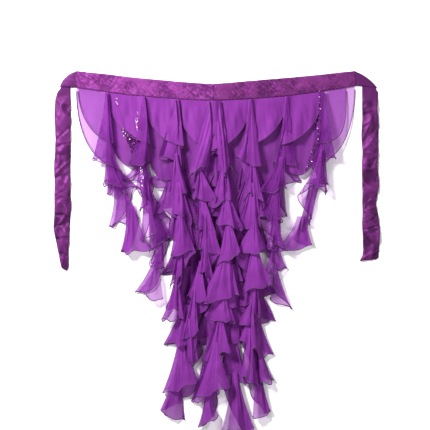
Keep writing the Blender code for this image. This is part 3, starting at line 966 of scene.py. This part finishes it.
def row_spots(rows, seed):
    """Places along rows of sequins, which stray a little from the straight line."""
    spots = []
    for number, (x0, d0, x1, d1, count) in enumerate(rows):
        for k in range(count):
            t = k / max(count - 1, 1)
            stray = 0.7 * chance(seed, number, k)
            spots.append((blend(x0, x1, t) + stray, blend(d0, d1, t) + 0.5 * chance(seed, k, number)))
    return spots


def foil(name, dark, light):
    """Thin shiny foil that changes colour from one sequin to the next."""
    made, tree, surface = new_material(name)
    shade = Shade(tree)
    where = shade.node("ShaderNodeTexCoord", output=3)
    change = shade.node("ShaderNodeTexNoise", Vector=where, Scale=420.0, Detail=1.0, Roughness=0.5)
    scuffs = shade.node("ShaderNodeTexNoise", Vector=where, Scale=2200.0, Detail=2.0, Roughness=0.6)
    fill(tree, surface, {
        "Base Color": ((change - 0.5) * 3.0 + 0.5).tint(dark, light),
        "Roughness": 0.22 + scuffs * 0.25,
        "Metallic": 0.85,
    })
    return made


def make_sequins():
    tree = cloth_tree()
    plum = foil("sequin_plum", *PLUM)
    pale = foil("sequin_pale", *PALE)
    patch = []
    (low_x, high_x), (low_d, high_d) = ((min(side), max(side)) for side in zip(*LEFT_PATCH))
    for i in range(int((high_d - low_d) / SEQUIN_GAP) + 1):
        for j in range(int((high_x - low_x) / SEQUIN_GAP) + 1):
            x = low_x + (j + 0.5 * (i % 2)) * SEQUIN_GAP + SEQUIN_STRAY * chance(i, j, 1.0)
            d = low_d + i * SEQUIN_GAP + SEQUIN_STRAY * chance(i, j, 2.0)
            if inside(x, d, LEFT_PATCH):
                patch.append((x, d))
    glints = patch[2:14:3] + patch[20:70:17]
    patch = [spot for spot in patch if spot not in glints]
    glints += row_spots(LEFT_ROWS, 3.0)
    sequins("sequins_left_patch", patch, 5.0, plum, tree)
    sequins("sequins_left_glints", glints, 9.0, pale, tree)
    high = row_spots(RIGHT_ROWS[:2], 4.0)
    low = row_spots(RIGHT_ROWS[2:], 8.0)
    pale_right = high[::4] + low[::9]
    dark_right = [spot for spot in high + low if spot not in pale_right]
    sequins("sequins_right_dark", dark_right, 6.0, plum, tree)
    sequins("sequins_right_pale", pale_right, 7.0, pale, tree)


# Stitches of the band: from one to the next, their size, how high their middles lie, how far they
# keep from the lower edge and from the seam, and how far out along the band they go
STITCH_STEP = 3.8
STITCH_LENGTH = 2.9
STITCH_RADIUS = 0.32
STITCH_LIFT = 0.05
STITCH_EDGE = 2.4
STITCH_SEAM = 2.0
STITCH_REACH = 278.0
THREAD_COLOUR = (0.06, 0.009, 0.064)


def one_stitch():
    """A short thread that dips into the cloth at both ends, from a ball drawn out long."""
    bpy.ops.mesh.primitive_uv_sphere_add(segments=8, ring_count=6, radius=MM)
    made = bpy.context.active_object
    made.scale = (0.5 * STITCH_LENGTH, STITCH_RADIUS, STITCH_RADIUS)
    bpy.ops.object.transform_apply(location=False, rotation=False, scale=True)
    bpy.ops.object.shade_smooth()
    return made


def make_stitches():
    """Machine stitching along the band's lower edge, where the ruffles are sewn in, and at its seam."""
    tree = cloth_tree()
    thread = plain("band_thread", THREAD_COLOUR, 0.6)
    for side, start_x, end_x in (
        ("left", -STITCH_REACH, BAND_SEAM_X - STITCH_SEAM),
        ("right", BAND_SEAM_X + STITCH_SEAM, STITCH_REACH),
    ):
        spots = []
        turns = []
        for k in range(int((end_x - start_x) / STITCH_STEP)):
            x = start_x + (k + 0.5) * STITCH_STEP
            slope = (band_edge(x + 4.0, "bottom") - band_edge(x - 4.0, "bottom")) / 8.0
            spots.append((x, band_edge(x, "bottom") - STITCH_EDGE))
            turns.append(Euler((0.0, 0.0, -math.atan(slope)), "XYZ"))
        seam_x = end_x if side == "left" else start_x
        seam_top = band_edge(seam_x, "top") + 3.0
        for k in range(int((band_edge(seam_x, "bottom") - seam_top - 4.0) / STITCH_STEP)):
            spots.append((seam_x, seam_top + (k + 0.5) * STITCH_STEP))
            turns.append(Euler((0.0, 0.0, 0.5 * math.pi), "XYZ"))
        name = "stitches_waistband_" + side
        set_down(name, one_stitch(), spots, turns, STITCH_LIFT, thread, tree)


# Satin


def ridge(x, y, seed):
    """A fold line that runs where the noise is zero: 1 on the line and 0 away from it."""
    return 1.0 - min(2.4 * abs(noise_at(x, y, seed)), 1.0)


def groove(x, y, seed):
    """A narrow sharp crease that runs where the noise is zero: 1 in the crease and 0 away from it."""
    return 1.0 - min(5.0 * abs(noise_at(x, y, seed)), 1.0)


def crumple(x, y, seed):
    """Height of finely crumpled satin, never below 0: soft pillows with sharp creases in patches."""
    warp = noise_at(x * 0.03, y * 0.03, seed) * 0.7
    amount = min(max(0.75 + 1.6 * noise_at(x * 0.022, y * 0.03, seed + 5.0), 0.25), 1.5)
    down = groove((x - 1.3 * y) * 0.09 + warp, (1.3 * x + y) * 0.018, seed)
    small = groove((x - 1.5 * y) * 0.14 - warp, (1.5 * x + y) * 0.032, seed + 7.0)
    up = groove((x + 0.9 * y) * 0.06 - warp, (0.9 * x - y) * 0.02, seed + 11.0)
    soft = 0.5 + noise_at(x * 0.03, y * 0.045, seed + 3.0)
    return max(0.52 + 0.5 * soft - amount * (0.52 * down + 0.42 * small + 0.2 * up), 0.0)


def creases(x, y, seed):
    """Height of a ribbon that was knotted and pulled straight: long soft folds from side to side."""
    warp = noise_at(x * 0.014, y * 0.014, seed) * 1.3
    long = ridge((1.2 * x + y) * 0.026 + warp, (x - 1.2 * y) * 0.01, seed)
    cross = ridge((y - 1.4 * x) * 0.026 - warp, (1.4 * x + y) * 0.01, seed + 5.0)
    sharp = groove((0.9 * x + y) * 0.03 - warp, (x - 0.9 * y) * 0.012, seed + 9.0)
    soft = 0.5 + noise_at(x * 0.05, y * 0.022, seed + 2.0)
    return max(0.36 * long ** 1.5 + 0.32 * cross ** 1.5 - 0.26 * sharp + 0.32 * soft, 0.0)


def band_half(name, start_x, end_x, material):
    """Half of the band as a flat casing: soft long edges and crumpled satin."""
    rims = (0.0, 0.012, 0.04, BAND_RIM)
    flat = 1.0 - 2.0 * BAND_RIM
    profile = [*rims, *(BAND_RIM + flat * k / BAND_STEPS_ACROSS for k in range(1, BAND_STEPS_ACROSS))]
    profile += [1.0 - v for v in reversed(rims)]
    top = []
    under = []
    crease_shade_and_mottle = []
    for i in range(BAND_STEPS + 1):
        x = blend(start_x, end_x, i / BAND_STEPS)
        high = band_edge(x, "top")
        low = band_edge(x, "bottom")
        edge_wave = 0.5 * noise_at(x * 0.06, 3.0, 1.0)
        upper = []
        lower = []
        for v in profile:
            d = blend(high + edge_wave * (1.0 - v), low, v)
            pillow = rounded(min(v, 1.0 - v) / BAND_RIM)
            height = crumple(x, d, BAND_SEED)
            # Painted shade: the crumple height also sets the colour, darker in the creases.
            crease_shade_and_mottle.append(height)
            upper.append(place(x, d, BAND_MIDDLE_Z + BAND_ROUND * pillow + BAND_CRUMPLE * height * pillow))
            lower.append(place(x, d, BAND_MIDDLE_Z - BAND_MIDDLE_Z * pillow))
        top.append(upper)
        under.append(lower)
    return closed_sheet(name, top, under, material, crease_shade_and_mottle)


def closed_sheet(name, top, under, material, crease_shade_and_mottle):
    """A closed wall between an upper and a lower grid of points."""
    rows = len(top)
    columns = len(top[0])
    points = [spot for line in top for spot in line] + [spot for line in under for spot in line]
    count = rows * columns
    faces = sheet_faces(rows, columns)
    faces += [tuple(count + k for k in face[::-1]) for face in sheet_faces(rows, columns)]
    rim = [(0, j) for j in range(columns)] + [(i, columns - 1) for i in range(1, rows)]
    rim += [(rows - 1, j) for j in range(columns - 2, -1, -1)] + [(i, 0) for i in range(rows - 2, 0, -1)]
    ring = [i * columns + j for i, j in rim]
    for a, b in zip(ring, ring[1:] + ring[:1]):
        faces.append((a, b, count + b, count + a))
    # The fold attribute carries painted shade, and on the ties random mottle, for the satin's colour.
    made = piece(name, points, faces, material, {"fold": crease_shade_and_mottle + crease_shade_and_mottle})
    face_out(made, weld=0.001 * MM)
    return made


def between(first, second, end, t):
    """A point of one of a tie's two edges, a share t of the way from one row to the next."""
    return Vector([blend(first[end + axis], second[end + axis], t) for axis in ("_x", "_d")])


def tie(name, rows, seed, material):
    """A ribbon that runs on from the band, turns over a diagonal fold and hangs down behind it."""
    heights = {"front": TIE_FRONT_Z, "fold": TIE_FOLD_Z, "back": TIE_BACK_Z}
    rows = table(rows)
    top = []
    under = []
    crease_shade_and_mottle = []
    for first, second in zip(rows, rows[1:]):
        length = abs(second["outer_d"] - first["outer_d"]) + abs(second["inner_x"] - first["inner_x"])
        steps = max(2, int(length / TIE_STEP))
        last = second is rows[-1]
        for k in range(steps + (1 if last else 0)):
            t = k / steps
            outer = between(first, second, "outer", t)
            inner = between(first, second, "inner", t)
            bulge = blend(first["bulge"], second["bulge"], t)
            a, b = heights[first["layer"]], heights[second["layer"]]
            if first["layer"] == second["layer"]:
                z, turn = a, (0.0 if first["layer"] == "front" else math.pi)
            elif second["layer"] == "fold":
                z = blend(a, b, 1.0 - math.cos(0.5 * math.pi * t))
                turn = 0.5 * math.pi * t
            else:
                z = blend(a, b, math.sin(0.5 * math.pi * t))
                turn = 0.5 * math.pi * (1.0 + t)
            side = 1.0 if outer.x > 0.0 else -1.0
            run = (inner - outer).normalized()
            outward = Vector((run.y, -run.x)) * side
            facing = Vector((outward.x * math.sin(turn), -outward.y * math.sin(turn), math.cos(turn)))
            loose = 0.0
            if second["layer"] == "back":
                loose = ease((min(outer.y, inner.y) - TIE_FREE_D) / TIE_FREE_LENGTH)
            if last:
                loose *= 1.0 - 0.7 * t
            upper = []
            lower = []
            for j in range(TIE_STEPS_ACROSS + 1):
                v = j / TIE_STEPS_ACROSS
                spot = outer.lerp(inner, v) + outward * (bulge * 4.0 * v * (1.0 - v))
                rim = rounded(min(v, 1.0 - v) / TIE_RIM)
                wave = noise_at(spot.y * 0.024, side * 3.0 + 0.4 * v, seed)
                edge = TIE_EDGE_WAVE * loose * wave
                fold = creases(spot.x, spot.y, seed)
                lift = TIE_CREASE * loose * fold
                mottle = noise_at(spot.x * 0.05, spot.y * 0.03, seed)
                # Painted shade with random mottle: the colour follows the crease height, lighter on the
                # ridges and darker in the folds.
                crease_shade_and_mottle.append(blend(0.4, 1.25 * fold, loose) + 0.25 * mottle)
                lift *= 0.45 + 0.55 * math.sin(math.pi * v) ** 0.5
                middle = place(spot.x + edge, spot.y, z + lift)
                half = facing * (0.5 * TIE_WALL * MM * (0.15 + 0.85 * rim))
                if second["layer"] == "front" or first["layer"] == "front":
                    middle.z += 1.2 * MM * crumple(1.4 * spot.x, spot.y, seed) * math.cos(turn) * rim
                upper.append(middle + half)
                lower.append(middle - half)
            top.append(upper)
            under.append(lower)
    return closed_sheet(name, top, under, material, crease_shade_and_mottle)


def make_satin():
    """Both halves of the band and both ties."""
    light = satin("satin_left_cloth", (0.24, 0.041, 0.246), (0.115, 0.017, 0.12), 0.53)
    dark = satin("satin_right_cloth", (0.168, 0.027, 0.163), (0.074, 0.011, 0.074), 0.53)
    ribbon = satin("satin_tie_cloth", (0.137, 0.022, 0.142), (0.048, 0.007, 0.05), 0.5)
    halves = (
        ("waistband_left", "satin_left", BAND_ROWS[1][0], BAND_SEAM_X - 0.5 * BAND_GAP, light),
        ("waistband_right", "satin_right", BAND_SEAM_X + 0.5 * BAND_GAP, BAND_ROWS[-1][0], dark),
    )
    for node, slot, start_x, end_x, material in halves:
        made = band_half("satin_" + node, start_x, end_x, material)
        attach(made, "root")
        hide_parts(node)
        (end_x - start_x) * MM
    for node, slot, rows, seed in (
        ("tie_left", "satin_tie_left", TIE_LEFT_ROWS, 11.0),
        ("tie_right", "satin_tie_right", TIE_RIGHT_ROWS, 23.0),
    ):
        made = tie("satin_" + node, rows, seed, ribbon)
        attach(made, "root")
        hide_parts(node)


# Floor, light and camera, in metres and watts

FLOOR_SIZE = 9.0
FLOOR_Z = -0.0004
FLOOR_COLOUR = (0.93, 0.93, 0.935)
WORLD_LIGHT = 0.24
LAMPS = (
    ("key_light", (-1.5, 1.4, 1.7), 0.6, 134.0),
    ("fill_light", (1.7, -0.5, 2.4), 1.8, 34.0),
)
CAMERA_SPOT = (-0.00346, 0.0810, 3.2)
CAMERA_SENSOR = 36.0
FRAME_WIDTH = 0.9804


def make_studio():
    bpy.ops.mesh.primitive_plane_add(size=FLOOR_SIZE, location=(0.0, 0.0, FLOOR_Z))
    floor = bpy.context.active_object
    floor.name = "floor"
    floor.data.materials.append(plain("floor_paper", FLOOR_COLOUR, 0.9))
    world = bpy.data.worlds.new("studio")
    bpy.context.scene.world = world
    world.use_nodes = True
    background = world.node_tree.nodes["Background"]
    fill(world.node_tree, background, {"Color": (1.0, 1.0, 1.0, 1.0), "Strength": WORLD_LIGHT})
    bpy.context.scene.view_settings.view_transform = "Standard"
    for name, spot, size, power in LAMPS:
        lamp = bpy.data.lights.new(name, "AREA")
        lamp.energy = power
        lamp.size = size
        made = bpy.data.objects.new(name, lamp)
        made.location = spot
        made.rotation_euler = (Vector((0.0, 0.0, 0.0)) - Vector(spot)).to_track_quat("-Z", "Y").to_euler()
        bpy.context.scene.collection.objects.link(made)


def make_camera():
    """Straight above the garment, with the 82 cm length almost filling the frame."""
    lens = bpy.data.cameras.new("camera")
    lens.sensor_width = CAMERA_SENSOR
    lens.lens = CAMERA_SENSOR * CAMERA_SPOT[2] / FRAME_WIDTH
    made = bpy.data.objects.new("camera", lens)
    made.location = CAMERA_SPOT
    bpy.context.scene.collection.objects.link(made)
    bpy.context.scene.camera = made


make_satin()
make_ruffles()
make_sequins()
make_stitches()
make_studio()
make_camera()
